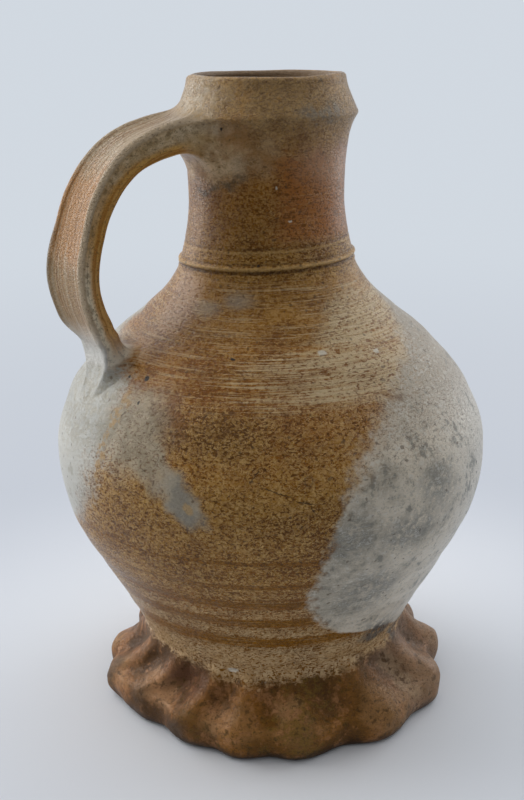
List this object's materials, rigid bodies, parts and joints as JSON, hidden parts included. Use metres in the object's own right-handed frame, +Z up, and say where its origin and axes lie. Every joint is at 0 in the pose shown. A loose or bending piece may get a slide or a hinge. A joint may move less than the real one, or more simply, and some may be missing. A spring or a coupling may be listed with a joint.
{
  "type": "stoneware jug",
  "caption": "Salt-glazed stoneware jug: round belly, narrow ridged neck, hand-pulled strap handle and a finger-pressed frilled foot.",
  "frame": {"origin": "centre of the flat underside of the base, on the surface that the jug stands on", "axes": "+Z up along the axis that the jug was thrown on, with the handle towards -X"},
  "size_m": [0.1638, 0.1638, 0.24],
  "materials": {
    "salt_glazed_wall": "mottled orange-peel salt glaze, satin",
    "bare_foot_clay": "bare fired clay, smooth and dull",
    "pale_glazed_strap": "thin pale salt glaze, satin"
  },
  "bodies": {
    "root": {"thrown_vessel": "salt_glazed_wall", "frilled_foot": "bare_foot_clay", "strap_handle": "pale_glazed_strap"}
  },
  "joints": []
}
